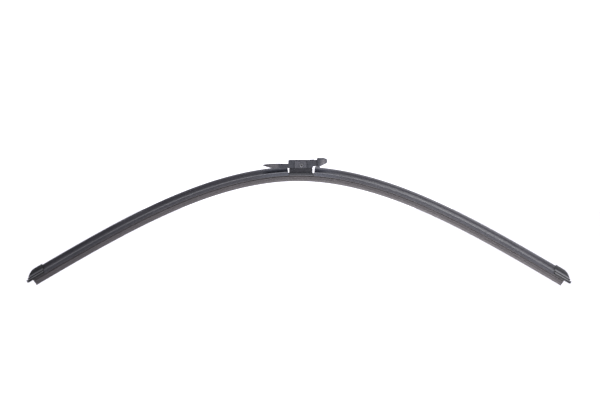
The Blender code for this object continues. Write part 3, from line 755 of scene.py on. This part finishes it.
def add_nose():
    """The cap that closes the arm's end: a hood, open below, with two prongs that grip the housing."""
    low, high = node_box("nose_cap")
    step = node_box("adapter_housing")[1].x + 0.1
    half = high.y
    outline = [(step, low.z), (20.4, low.z), (21.4, -0.6), (24.7, 1.0), (28.1, 2.6)]
    outline += arc((27.8, 3.9), 1.0, -60, 0, 6) + arc((26.6, 5.6), 2.2, 10, 50, 8)
    outline += [(25.9, 8.0), (24.7, high.z), (step + 0.4, high.z), (step, high.z - 0.4)]
    nose = prism_across("nose_moulding", outline, -half, half)
    corner = 5.0
    plan = [(step - 9.0, -half - 0.01), (step - 9.0, half + 0.01)]
    plan += arc((high.x - corner, half - corner + 0.01), corner, 90, 0, 24)
    plan += arc((high.x - corner, corner - half - 0.01), corner, 0, -90, 24)
    combine(nose, prism_up("plan", plan, -5.0, 12.0), 'INTERSECT')
    combine(nose, block("pocket", (step + 1.4, high.x - 2.3), (2.0 - half, half - 2.0), (-3.0, 6.6)))
    combine(nose, block("crest_slot", (step - OVERRUN, step + 2.0), (-3.4, 3.4), (-3.0, 2.5)))
    for side in (-1, 1):
        prong = block("prong", (low.x, step + 0.7), on_side(side, 6.2, 7.3), (-0.4, 5.0))
        combine(nose, prong, 'UNION')
    soften(nose, 0.35, segments=4)
    return {"nose_cap": nose}


def fairing_half_width(x, root, tip):
    """The fairing narrows from the housing's width towards its tip, which is rounded."""
    share = (root - x) / (root - tip)
    return 8.4 - 2.6 * share ** 2 - 2.4 * max(0.0, (share - 0.86) / 0.14) ** 2


def add_fairing():
    """The fin under the arm: an upside-down channel that the blade's crest moves into."""
    low, high = node_box("arm_fairing")
    root = housing_end(high.z)
    profile = [
        (low.x, 0.1, 0.4), (-43.0, -0.1, 0.65), (-41.9, -0.4, 1.05), (-39.5, -1.3, 1.4),
        (-37.3, -2.0, 1.55), (-34.8, -2.6, 1.7), (-32.8, -2.8, 1.8), (-27.0, -2.8, 2.0),
        (-22.0, -2.8, 1.9), (root, -2.8, 1.8),
    ]
    places, bottoms, tops = np.array(profile).T
    rings = []
    for x in np.linspace(root, low.x, 57):
        bottom = np.interp(x, places, bottoms)
        top = np.interp(x, places, tops)
        half = fairing_half_width(x, root, low.x)
        edge = min(0.8, (top - bottom) / 2.5)
        corners = [
            (-half, bottom), (half, bottom), (half, top - edge), (half - edge, top), (edge - half, top),
            (-half, top - edge),
        ]
        rings.append([(min(x, housing_end(z) - SEAM), y, z) for y, z in rounded(corners, 0.3, steps=3)])
    fairing = closed_piece("fairing_moulding", rings)
    pocket = [(-13.0, -4.0), (-13.0, 0.7), (-27.0, 0.7), (-39.5, 0.2), (-40.7, -0.1), (-40.7, -4.0)]
    combine(fairing, prism_across("pocket", pocket, -4.0, 4.0))
    for side in (-1, 1):
        prong = block("prong", (root - 2.0, high.x), on_side(side, 6.3, 7.3), (-2.5, -1.3))
        combine(fairing, prong, 'UNION')
    shade(fairing)
    return {"arm_fairing": fairing}


def add_button():
    """The lock button: a ramp that the arm slides over, with shallow grip lines across its top."""
    low, high = node_box("lock_button")
    length = BUTTON_HALF_LENGTH
    rim = length + BUTTON_RIM
    outline = [
        (-rim, low.z), (rim, low.z), (rim, BUTTON_RIM_TOP), (length, BUTTON_RIM_TOP), (length, 6.5),
        (length - 0.3, high.z), (0.6 - length, 6.2), (-length, 5.8), (-length, BUTTON_RIM_TOP),
        (-rim, BUTTON_RIM_TOP),
    ]
    button = prism_across("button_moulding", [(BUTTON_X + x, z) for x, z in outline], low.y, high.y)
    for x in GRIP_LINES:
        grip = (BUTTON_X + x - GRIP_HALF_WIDTH, BUTTON_X + x + GRIP_HALF_WIDTH)
        grip_reach = (low.y + 0.8, high.y - 0.8)
        combine(button, block("grip_line", grip, grip_reach, (6.25, high.z + OVERRUN)))
    combine(button, prism_up("spring_pocket", circle(2.4, (BUTTON_X, 0.0), 48), 1.0, 5.1))
    soften(button, 0.09)
    return {"lock_button": button}


def add_spring():
    """A plain coil between the shelf and the button."""
    low, high = node_box("lock_spring")
    steps = 28 * SPRING_TURNS
    middle = (high.x - low.x) / 2 - SPRING_WIRE / 2
    centre_x = (high.x + low.x) / 2
    rise = high.z - low.z - SPRING_WIRE
    rings = []
    for step in range(steps + 1):
        turn = 2 * math.pi * SPRING_TURNS * step / steps
        height = low.z + SPRING_WIRE / 2 + rise * step / steps
        outward = np.array([math.cos(turn), math.sin(turn), 0.0])
        centre = np.array([centre_x, 0.0, height]) + middle * outward
        wire = circle(SPRING_WIRE / 2, sides=14)
        rings.append([centre + outward * px + np.array([0.0, 0.0, pz]) for px, pz in wire])
    spring = closed_piece("lock_coil", rings)
    shade(spring, 60.0)
    return {"lock_spring": spring}


def squash_spring(piece):
    """Give the spring a mesh of its own."""
    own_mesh(piece)


# Materials. Each is mixed from noises in millimetres, so its grain keeps its real size.

NOISE_ROUGHNESS = 0.55
MIX_COLOURS = (6, 7)   # the Mix node's sockets for colours
MIX_RESULT = 2


class Finish:
    """A Principled material whose colour, roughness and bump are built up from node textures."""

    def __init__(self, name, metallic=0.0, specular=0.5, coordinates="place"):
        self.material = bpy.data.materials.new(name)
        self.material.use_nodes = True
        self.tree = self.material.node_tree
        self.link = self.tree.links.new
        self.shader = self.tree.nodes["Principled BSDF"]
        self.shader.inputs["Metallic"].default_value = metallic
        self.shader.inputs["Specular IOR Level"].default_value = specular
        attribute = self.node("Attribute")
        attribute.attribute_name = coordinates
        self.place = attribute.outputs["Vector"]

    def node(self, kind, **values):
        """A new shader node, with its named inputs set."""
        node = self.tree.nodes.new("ShaderNode" + kind)
        for name, value in values.items():
            node.inputs[name.replace("_", " ")].default_value = value
        return node

    def scaled(self, scale):
        """The place with each axis multiplied, so that grain can run along the blade."""
        node = self.node("Mapping", Scale=scale)
        self.link(self.place, node.inputs["Vector"])
        return node.outputs["Vector"]

    def noise(self, scale, detail, distortion=0.0):
        """Cloudy noise from 0 to 1; scale gives the cells per millimetre on each axis."""
        fineness = {"Detail": detail, "Roughness": NOISE_ROUGHNESS}
        node = self.node("TexNoise", Scale=1.0, Distortion=distortion, **fineness)
        self.link(self.scaled(scale), node.inputs["Vector"])
        return node.outputs["Fac"]

    def cells(self, scale):
        """Voronoi distance, for pits and specks."""
        node = self.node("TexVoronoi", Scale=1.0)
        self.link(self.scaled(scale), node.inputs["Vector"])
        return node.outputs["Distance"]

    def remap(self, value, low, high, to_low=0.0, to_high=1.0):
        """Ease from one value to another while the input goes from low to high, and hold them beyond."""
        node = self.node("MapRange", From_Min=low, From_Max=high, To_Min=to_low, To_Max=to_high)
        node.interpolation_type = 'SMOOTHSTEP'
        self.link(value, node.inputs["Value"])
        return node.outputs["Result"]

    def axis(self, name):
        node = self.node("SeparateXYZ")
        self.link(self.place, node.inputs["Vector"])
        return node.outputs[name]

    def math(self, operation, first, second):
        node = self.node("Math")
        node.operation = operation
        for socket, value in zip(node.inputs, (first, second)):
            if isinstance(value, (int, float)):
                socket.default_value = value
            else:
                self.link(value, socket)
        return node.outputs["Value"]

    def plus(self, first, second):
        return self.math('ADD', first, second)

    def times(self, first, second):
        return self.math('MULTIPLY', first, second)

    def distance(self, value, centre=0.0):
        """How far a value is from a centre, to either side."""
        return self.math('ABSOLUTE', self.math('SUBTRACT', value, centre), 0.0)

    def between(self, value, rise, fall, peak=1.0):
        """A mask that rises to its peak over one pair of values, and falls to nothing over another."""
        return self.times(self.remap(value, *rise, 0.0, peak), self.remap(value, *fall))

    def blend(self, share, first, second):
        """Mix two colours, each a linear RGB triple or another node's output."""
        node = self.node("Mix")
        node.data_type = 'RGBA'
        self.link(share, node.inputs["Factor"])
        for socket, value in zip(MIX_COLOURS, (first, second)):
            if isinstance(value, tuple):
                node.inputs[socket].default_value = (*value, 1.0)
            else:
                self.link(value, node.inputs[socket])
        return node.outputs[MIX_RESULT]

    def colour(self, source):
        self.link(source, self.shader.inputs["Base Color"])

    def roughness(self, source):
        self.link(source, self.shader.inputs["Roughness"])

    def specular(self, source):
        self.link(source, self.shader.inputs["Specular IOR Level"])

    def bump(self, *layers):
        """Add height layers, each (height output, depth in millimetres), one upon the other."""
        normal = None
        for height, depth in layers:
            node = self.node("Bump", Strength=1.0, Distance=depth * MM)
            self.link(height, node.inputs["Height"])
            if normal is not None:
                self.link(normal, node.inputs["Normal"])
            normal = node.outputs["Normal"]
        self.link(normal, self.shader.inputs["Normal"])


def spoiler_elastomer():
    """Extruded elastomer: lines along the blade, patches of dry bloom, edges lighter from wear and painted
    highlights, painted light near the connector, dirty joints.
    """
    finish = Finish("spoiler_elastomer", specular=0.42)
    streaks = finish.noise((0.02, 3.0, 3.0), detail=5.0)
    clouds = finish.noise((0.03, 0.25, 0.25), detail=3.0)
    grain = finish.noise((6.0, 9.0, 9.0), detail=2.0)
    along = finish.axis("X")
    up = finish.axis("Z")
    bloom = finish.remap(clouds, 0.45, 0.75)
    base = finish.blend(finish.remap(streaks, 0.3, 0.7), (0.013, 0.0125, 0.0175), (0.0195, 0.019, 0.025))
    base = finish.blend(finish.times(bloom, 0.45), base, (0.036, 0.036, 0.044))
    # Painted light: the spoiler is lighter near the connector, standing in for the light that the fairing
    # and the nose keep off its flank.
    painted_fill_near_middle = finish.remap(finish.distance(along), 55.0, 25.0, 0.0, 0.8)
    base = finish.blend(painted_fill_near_middle, base, (0.030, 0.032, 0.043))
    # Painted highlights along the flare's edge and the crest, broken up by grain: partly wear, partly
    # painted light.
    flare_highlight_and_wear = finish.between(up, (0.9, 1.5), (3.1, 2.5))
    crest_highlight_and_wear = finish.between(up, (7.4, 8.1), (8.5, 8.3))
    patchy = finish.remap(grain, 0.3, 0.6, 0.16, 0.4)
    highlight_and_wear = finish.times(finish.plus(flare_highlight_and_wear, crest_highlight_and_wear), patchy)
    base = finish.blend(highlight_and_wear, base, (0.1, 0.1, 0.108))
    leaned = finish.plus(finish.distance(along, sum(TIPS) / 2), finish.times(up, CAP_LEAN))
    joint = (TIPS[1] - TIPS[0]) / 2 - CAP_LENGTH - GAP + CAP_LEAN * BAND_BOTTOM
    dirt = finish.remap(leaned, joint - 0.8, joint - 0.3, 0.0, 0.95)
    finish.colour(finish.blend(dirt, base, (0.003, 0.003, 0.004)))
    dull = finish.plus(finish.times(bloom, 0.08), finish.remap(up, 1.4, 1.0, 0.0, 0.25))
    finish.roughness(finish.plus(finish.remap(streaks, 0.2, 0.8, 0.40, 0.56), dull))
    finish.bump((streaks, 0.02), (grain, 0.01))
    return finish.material


def wiping_rubber():
    """Moulded rubber with a graphite coating: dull, faintly warm, and lighter towards the lip."""
    finish = Finish("wiping_rubber", specular=0.35)
    streaks = finish.noise((0.015, 2.0, 5.0), detail=5.0)
    grain = finish.noise((5.0, 5.0, 5.0), detail=3.0)
    clouds = finish.noise((0.05, 0.4, 0.4), detail=3.0)
    base = finish.blend(finish.remap(streaks, 0.3, 0.7), (0.024, 0.021, 0.0235), (0.033, 0.029, 0.0315))
    base = finish.blend(finish.remap(clouds, 0.4, 0.8, 0.0, 0.5), base, (0.041, 0.037, 0.040))
    lip = finish.remap(finish.axis("Z"), -5.0, -8.0)
    finish.colour(finish.blend(finish.times(lip, 0.6), base, (0.060, 0.054, 0.057)))
    finish.roughness(finish.remap(grain, 0.2, 0.8, 0.55, 0.75))
    finish.bump((streaks, 0.03), (grain, 0.015))
    return finish.material


def paint_connector_light(finish, base):
    """Paint light on the connector: the nose lighter towards its end from wear and painted sheen, a
    painted highlight on the nose's rounded end, and a painted highlight on the fairing's flank.
    """
    along = finish.axis("X")
    up = finish.axis("Z")
    # Partly wear from handling, partly painted sheen: the nose is lighter towards its end.
    nose_wear_and_sheen = finish.between(along, (20.0, 33.0), (60.0, 50.0), 0.8)
    base = finish.blend(nose_wear_and_sheen, base, (0.036, 0.037, 0.042))
    # Painted highlight where the nose's end rounds off.
    nose_end_highlight = finish.between(along, (22.0, 27.0), (29.8, 28.6), 0.6)
    nose_end_highlight = finish.times(nose_end_highlight, finish.remap(up, 19.0, 16.0))
    base = finish.blend(nose_end_highlight, base, (0.078, 0.073, 0.080))
    # Painted highlight on the fairing's flank, where the light catches it.
    flank = finish.between(along, (-40.0, -36.0), (-19.0, -24.0), 0.75)
    flank = finish.times(flank, finish.remap(up, 12.3, 11.6))
    return finish.blend(flank, base, (0.056, 0.053, 0.058))


def line_caps(finish, base, on_cap):
    """Paint highlights on the end caps' ledges and flange edges, and paint shade on the rest below the
    ledges.
    """
    up = finish.axis("Z")
    base = finish.blend(finish.times(on_cap, 0.6), base, (0.024, 0.0245, 0.025))
    # Painted shade on the caps below the ledge.
    shaded = finish.times(on_cap, finish.remap(up, 2.9, 2.7, 0.0, 0.85))
    base = finish.blend(shaded, base, (0.004, 0.004, 0.005))
    # Painted highlights on the ledge and along the flange's top.
    ledge = finish.between(up, (2.7, 2.9), (4.9, 4.3))
    flange_line = finish.between(up, (0.55, 0.75), (1.8, 1.6), 0.85)
    painted_highlight = finish.times(on_cap, finish.plus(ledge, flange_line))
    return finish.blend(painted_highlight, base, (0.10, 0.10, 0.107))


def black_plastic():
    """Moulded plastic with an eroded grain and flow marks, and painted shade on the connector's inner
    faces.
    """
    finish = Finish("black_plastic")
    grain = finish.noise((7.0, 7.0, 7.0), detail=3.0)
    pits = finish.cells((4.0, 4.0, 4.0))
    flow = finish.noise((0.12, 0.5, 0.5), detail=4.0, distortion=1.5)
    handling = finish.noise((0.25, 0.25, 0.25), detail=2.0)
    base = finish.blend(finish.remap(flow, 0.35, 0.7), (0.0095, 0.010, 0.015), (0.0145, 0.0155, 0.0215))
    base = finish.blend(finish.remap(grain, 0.55, 0.75, 0.0, 0.5), base, (0.026, 0.028, 0.036))
    base = paint_connector_light(finish, base)
    on_cap = finish.remap(finish.distance(finish.axis("X")), 300.0, 306.0)
    base = line_caps(finish, base, on_cap)
    # Painted shade: faces set in from the connector's sides are darkened, and reflect less, as if in
    # shadow.
    painted_recess_shade = finish.remap(finish.distance(finish.axis("Y")), 7.0, 6.2)
    painted_recess_shade = finish.times(painted_recess_shade, finish.math('SUBTRACT', 1.0, on_cap))
    finish.colour(finish.blend(finish.times(painted_recess_shade, 0.9), base, (0.006, 0.006, 0.009)))
    finish.specular(finish.remap(painted_recess_shade, 0.0, 1.0, 0.22, 0.16))
    dulled = finish.remap(handling, 0.4, 0.7, 0.0, 0.1)
    finish.roughness(finish.plus(finish.remap(grain, 0.3, 0.7, 0.46, 0.58), dulled))
    finish.bump((grain, 0.02), (pits, 0.012))
    return finish.material


def bearing_plastic():
    """Smooth low-friction plastic, a shade greyer than the housing, with painted highlights along its
    upright edges.
    """
    finish = Finish("bearing_plastic", specular=0.28)
    drawn = finish.noise((6.0, 1.0, 0.4), detail=4.0)
    clouds = finish.noise((0.5, 0.5, 0.5), detail=3.0)
    base = finish.blend(finish.remap(clouds, 0.3, 0.7), (0.016, 0.016, 0.023), (0.023, 0.023, 0.031))
    # Painted highlights along the plates' upright edges.
    from_middle = finish.distance(finish.axis("X"), sum(PLATE_ENDS) / 2 - ARC_X)
    painted_highlight = finish.remap(from_middle, 5.5, 5.8, 0.0, 0.8)
    finish.colour(finish.blend(painted_highlight, base, (0.050, 0.050, 0.060)))
    finish.roughness(finish.remap(drawn, 0.2, 0.8, 0.42, 0.56))
    finish.bump((drawn, 0.01), (clouds, 0.02))
    return finish.material


def rail_steel():
    """Rolled spring steel under oil: brushed along its length, and mottled where the oil is thick."""
    finish = Finish("rail_steel", metallic=1.0)
    brushed = finish.noise((0.05, 12.0, 12.0), detail=5.0)
    oil = finish.noise((0.2, 0.6, 0.6), detail=3.0)
    finish.colour(finish.blend(finish.remap(oil, 0.35, 0.65), (0.05, 0.05, 0.054), (0.09, 0.09, 0.095)))
    finish.roughness(finish.remap(brushed, 0.2, 0.8, 0.48, 0.66))
    finish.bump((brushed, 0.01),)
    return finish.material


def coated_steel():
    """Pressed steel with a black dip coating: orange peel, a few specks, and a painted highlight along the
    lower edge.
    """
    finish = Finish("coated_steel", specular=0.2)
    peel = finish.noise((1.6, 1.6, 1.6), detail=2.0)
    specks = finish.cells((2.2, 2.2, 2.2))
    base = finish.blend(finish.remap(peel, 0.3, 0.7), (0.009, 0.009, 0.012), (0.014, 0.015, 0.018))
    base = finish.blend(finish.remap(specks, 0.10, 0.04, 0.0, 0.7), base, (0.08, 0.08, 0.09))
    # Painted highlight along the bracket's lower edge.
    painted_edge_highlight = finish.remap(finish.axis("Z"), -1.2, -1.45, 0.0, 0.7)
    finish.colour(finish.blend(painted_edge_highlight, base, (0.07, 0.07, 0.08)))
    finish.roughness(finish.remap(peel, 0.2, 0.8, 0.5, 0.65))
    finish.bump((peel, 0.03),)
    return finish.material


def pin_steel():
    """Dark plated steel with turning marks, and painted shade down in the pin's dimples."""
    finish = Finish("pin_steel", metallic=0.4, specular=0.3)
    turning = finish.noise((5.0, 5.0, 5.0), detail=4.0)
    plating = finish.noise((0.7, 0.7, 0.7), detail=3.0)
    base = finish.blend(finish.remap(plating, 0.3, 0.7), (0.05, 0.05, 0.056), (0.085, 0.085, 0.093))
    # Painted shade down in the dimples and round the pin's ends.
    painted_dimple_shade = finish.between(finish.distance(finish.axis("Y")), (8.4, 8.6), (9.42, 9.2), 0.8)
    finish.colour(finish.blend(painted_dimple_shade, base, (0.022, 0.020, 0.019)))
    finish.roughness(finish.remap(turning, 0.2, 0.8, 0.55, 0.7))
    finish.bump((turning, 0.008),)
    return finish.material


def pale_floor():
    finish = Finish("pale_floor", specular=0.2, coordinates="floor_place")
    mottling = finish.noise((1.5, 1.5, 1.5), detail=3.0)
    finish.colour(finish.blend(finish.remap(mottling, 0.3, 0.7), (0.94, 0.94, 0.94), (0.96, 0.96, 0.96)))
    finish.roughness(finish.remap(mottling, 0.2, 0.8, 0.75, 0.85))
    return finish.material


# Stage, light and camera

def add_floor():
    """A wide round floor, well below the blade so that the blade has room to tilt."""
    height = cad_low.z - FLOOR_DROP
    shape = bmesh.new()
    rows = []
    for radius in FLOOR_RADII:
        rows.append([shape.verts.new((px, py, height)) for px, py in circle(radius, sides=FLOOR_SIDES)])
    shape.faces.new(rows[0])
    for first, second in zip(rows, rows[1:]):
        for corner in range(FLOOR_SIDES):
            after = (corner + 1) % FLOOR_SIDES
            shape.faces.new((first[corner], first[after], second[after], second[corner]))
    mesh = bpy.data.meshes.new("floor")
    shape.to_mesh(mesh)
    shape.free()
    floor = add_piece("floor", mesh)
    store_place(mesh, "floor_place", points_of(mesh))
    mesh.materials.append(pale_floor())


def add_soft_box(name, place, target, size, power):
    """A lamp that isn't seen itself, its size in metres and its power in watts."""
    light = bpy.data.lights.new(name, 'AREA')
    light.shape = 'RECTANGLE'
    light.size, light.size_y = size
    light.energy = power
    lamp = bpy.data.objects.new(name, light)
    lamp.location = place
    lamp.visible_camera = False
    lamp.rotation_mode = 'QUATERNION'
    lamp.rotation_quaternion = (Vector(target) - Vector(place)).to_track_quat('-Z', 'Y')
    bpy.context.scene.collection.objects.link(lamp)


def add_world():
    """A plain sky that fades from its bright side to its dark side."""
    world = bpy.data.worlds.new("studio")
    world.use_nodes = True
    tree = world.node_tree
    direction = tree.nodes.new("ShaderNodeTexCoord")
    facing = tree.nodes.new("ShaderNodeVectorMath")
    facing.operation = 'DOT_PRODUCT'
    facing.inputs[1].default_value = BRIGHT_SIDE
    level = tree.nodes.new("ShaderNodeMapRange")
    level.interpolation_type = 'SMOOTHSTEP'
    level.inputs["From Min"].default_value, level.inputs["From Max"].default_value = WORLD_FADE
    level.inputs["To Min"].default_value, level.inputs["To Max"].default_value = WORLD_LEVELS
    tree.links.new(direction.outputs["Generated"], facing.inputs[0])
    tree.links.new(facing.outputs["Value"], level.inputs["Value"])
    tree.links.new(level.outputs["Result"], tree.nodes["Background"].inputs["Strength"])
    tree.nodes["Background"].inputs["Color"].default_value = (*WORLD_TINT, 1.0)
    bpy.context.scene.world = world


def add_lights():
    """Three soft boxes: one on the camera's side, one high behind the nose, one low down for the floor."""
    add_soft_box("key_box", (0.14, -0.42, -0.12), (0.11, 0.0, -0.06), (0.30, 0.10), 3.8)
    add_soft_box("rim_box", (0.42, 0.30, 0.40), (0.20, 0.0, -0.05), (0.4, 0.4), 3.5)
    add_soft_box("floor_box", (0.22, -0.20, -0.19), (0.22, -0.20, -1.0), (0.40, 0.20), 0.8)


def add_camera():
    camera = bpy.data.cameras.new("camera")
    camera.lens = LENS
    camera.sensor_width = SENSOR
    camera.clip_start = 0.05
    camera.clip_end = 200.0
    viewer = bpy.data.objects.new("camera", camera)
    viewer.location = VIEW_CENTRE - Vector((0.0, VIEW_WIDTH * LENS / SENSOR, 0.0))
    viewer.rotation_euler = (math.radians(90.0), 0.0, 0.0)
    bpy.context.scene.collection.objects.link(viewer)
    bpy.context.scene.camera = viewer


def main():
    slot_finishes = (
        spoiler_elastomer, wiping_rubber, black_plastic, bearing_plastic, rail_steel, coated_steel,
        pin_steel,
    )
    finishes = {finish.__name__: finish() for finish in slot_finishes}
    makers = (
        add_rubber, add_rails, add_spoilers, add_end_caps, add_rail_clips, add_bracket, add_base,
        add_rivets, add_pin, add_housing, add_bearing_plates, add_nose, add_fairing, add_button,
        add_spring,
    )
    for maker in makers:
        for node, piece in maker().items():
            store_straight_place(piece.data)
            piece.data.materials.clear()
            piece.data.materials.append(finishes[SLOT_OF[node]])
            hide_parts(node)
            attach(piece, BODY_OF[node])
            if node == "lock_spring":
                squash_spring(piece)
    add_floor()
    add_world()
    add_lights()
    add_camera()
    bpy.context.scene.view_settings.view_transform = 'Standard'


main()
